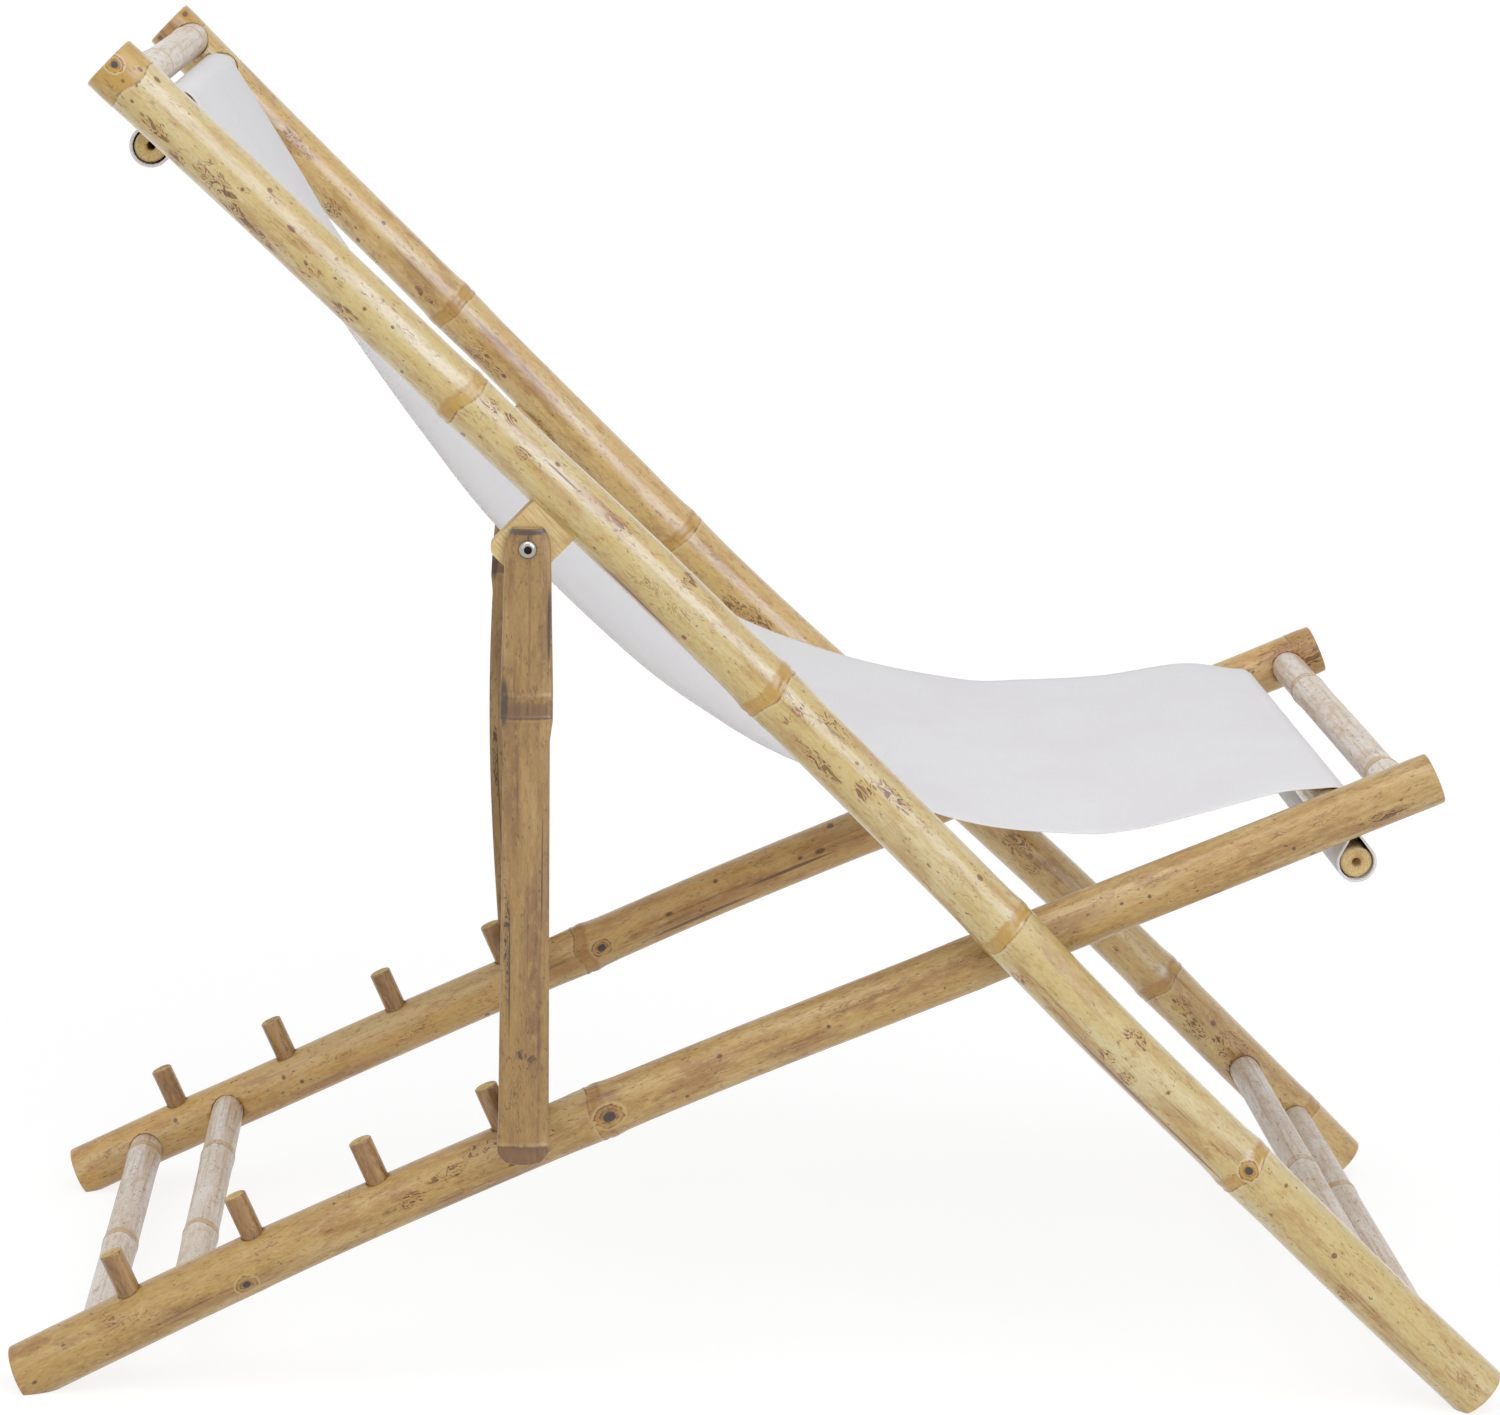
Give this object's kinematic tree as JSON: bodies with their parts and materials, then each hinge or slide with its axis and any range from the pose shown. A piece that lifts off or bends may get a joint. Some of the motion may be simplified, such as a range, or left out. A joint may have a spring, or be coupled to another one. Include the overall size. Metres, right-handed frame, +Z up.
{
  "type": "folding sling chair",
  "caption": "Folding recliner of bamboo poles: two frames crossed like scissors, a prop standing against pegs, and a canvas sling hung between them.",
  "frame": {"origin": "on the floor, under the middle of the open chair", "axes": "+X to the sitter's front, +Y to the sitter's left, +Z up"},
  "size_m": [1.122, 0.618, 1.0029],
  "materials": {
    "straw_bamboo": "straw-coloured bamboo culm, waxy half-gloss skin with streaks and ochre node rings",
    "brown_bamboo": "browner bamboo culm, half-gloss, mottled and scarred",
    "bleached_bamboo": "bleached matt bamboo, grey-pink with faint tan streaks",
    "ear_wood": "pale bare wood, matt",
    "steel": "zinc-plated steel",
    "canvas": "matt off-white plain-woven cotton canvas"
  },
  "bodies": {
    "back_frame": {"back_pole_right": "straw_bamboo", "back_pole_left": "straw_bamboo", "head_sling_bar": "straw_bamboo", "head_sling_rod": "straw_bamboo", "head_rail": "bleached_bamboo", "foot_rail_upper": "bleached_bamboo", "foot_rail_lower": "bleached_bamboo", "prop_ear_right": "ear_wood", "prop_ear_left": "ear_wood", "pivot_bolt_right": "steel", "prop_bolt_right": "steel", "prop_washer_right": "steel", "prop_nut_right": "steel", "pivot_bolt_left": "steel", "prop_bolt_left": "steel", "prop_washer_left": "steel", "prop_nut_left": "steel", "sling": "canvas"},
    "seat_frame": {"seat_pole_right": "brown_bamboo", "seat_pole_left": "brown_bamboo", "seat_front_rail": "bleached_bamboo", "seat_sling_bar": "brown_bamboo", "rear_rail_inner": "bleached_bamboo", "rear_rail_outer": "bleached_bamboo", "seat_sling_rod": "straw_bamboo", "peg_right_1": "brown_bamboo", "peg_right_2": "brown_bamboo", "peg_right_3": "brown_bamboo", "peg_right_4": "brown_bamboo", "peg_left_1": "brown_bamboo", "peg_left_2": "brown_bamboo", "peg_left_3": "brown_bamboo", "peg_left_4": "brown_bamboo", "pivot_washer_right": "steel", "pivot_spacer_right": "steel", "pivot_washer_left": "steel", "pivot_spacer_left": "steel"},
    "prop_frame": {"prop_strip_right": "brown_bamboo", "prop_strip_left": "brown_bamboo", "prop_cross_bar": "brown_bamboo"}
  },
  "joints": [
    {"name": "fold", "type": "hinge", "parent": "back_frame", "child": "seat_frame", "pos_m": [0.19578, 0, 0.34891], "axis": [0, -1, 0], "range_deg": [0, 105], "deforming": ["sling"]},
    {"name": "prop", "type": "hinge", "parent": "back_frame", "child": "prop_frame", "pos_m": [-0.1771, 0, 0.65222], "axis": [0, -1, 0], "range_deg": [0, 39.3]}
  ],
  "couplings": [
    {"joint": "prop", "follows": "fold", "ratio": 0.374}
  ]
}
